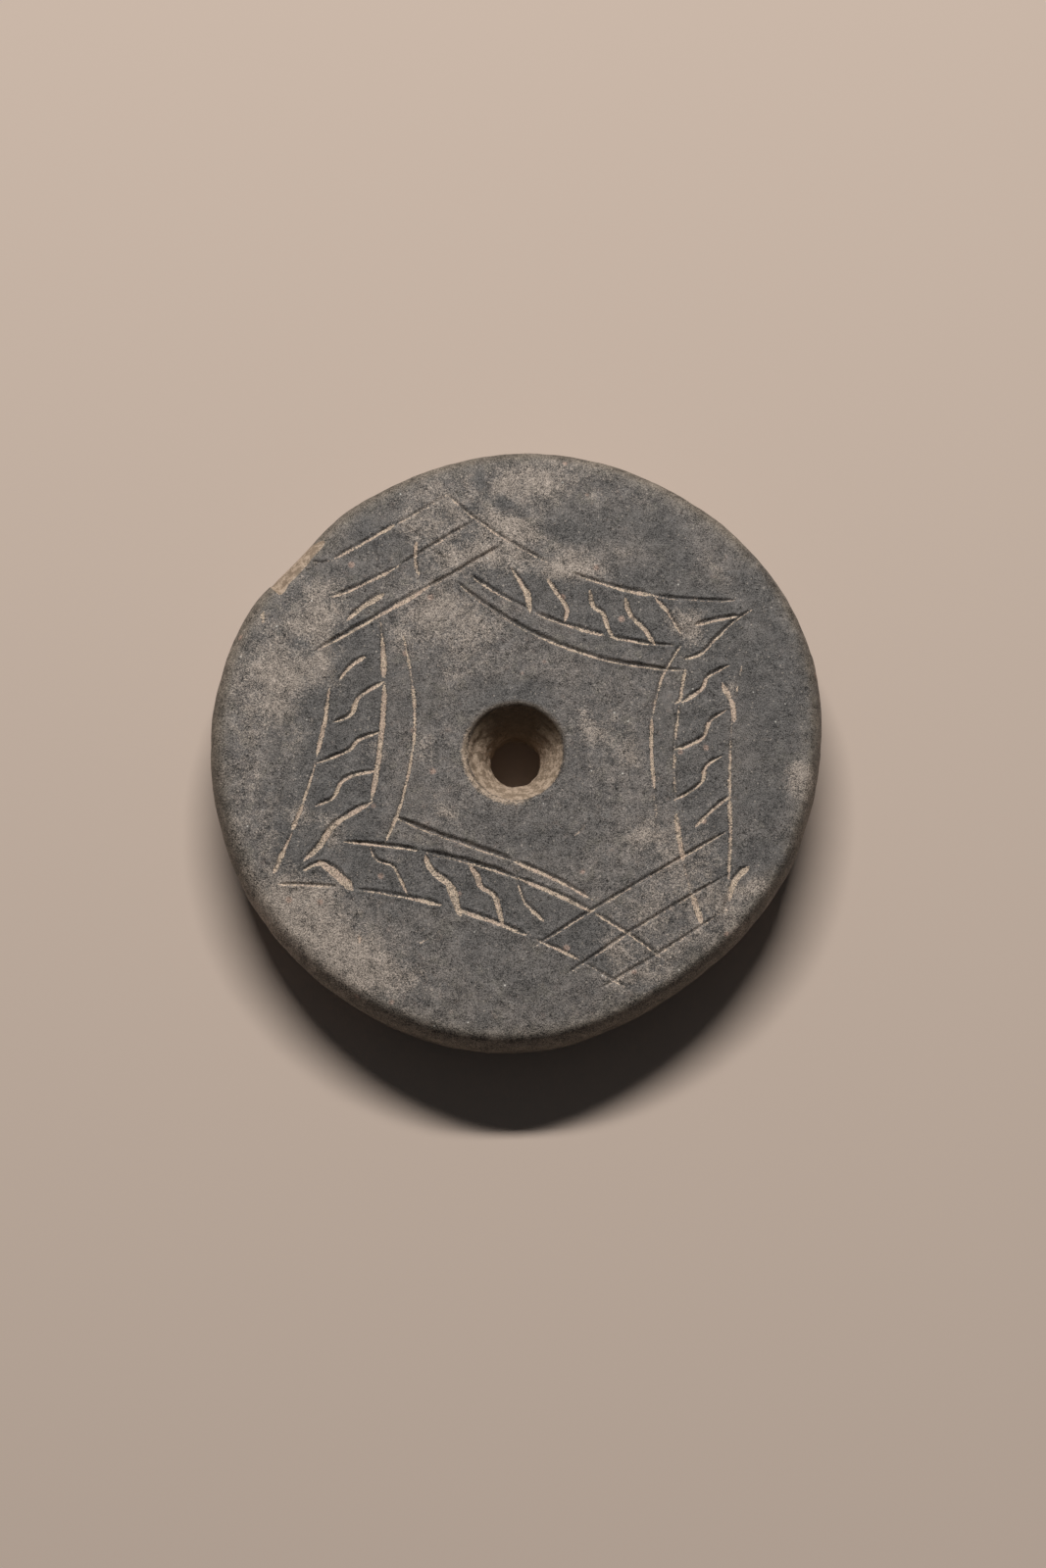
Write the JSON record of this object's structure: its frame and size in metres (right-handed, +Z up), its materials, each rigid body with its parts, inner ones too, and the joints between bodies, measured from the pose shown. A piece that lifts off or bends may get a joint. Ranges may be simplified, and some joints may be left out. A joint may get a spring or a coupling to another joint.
{
  "type": "clay spindle whorl",
  "caption": "Thick round fired-clay disc with a drilled spindle hole, a countersink and an incised star of curved bands; it weights a hand spindle.",
  "frame": {"origin": "centre of the disc's outline, on its flat underside; the spindle's hole is 0.2 mm to -X and 1.3 mm to -Y of it", "axes": "+Z up through the disc's thickness, parallel to the spindle's hole, towards the incised face; +Y towards the top of the picture"},
  "size_m": [0.0705, 0.0708, 0.012],
  "materials": {
    "fired_clay": "smooth burnished dark grey clay with lighter soil patches, rough buff clay in the countersink and the chip, buff sediment in the incisions"
  },
  "bodies": {
    "root": {"whorl": "fired_clay"}
  },
  "joints": []
}
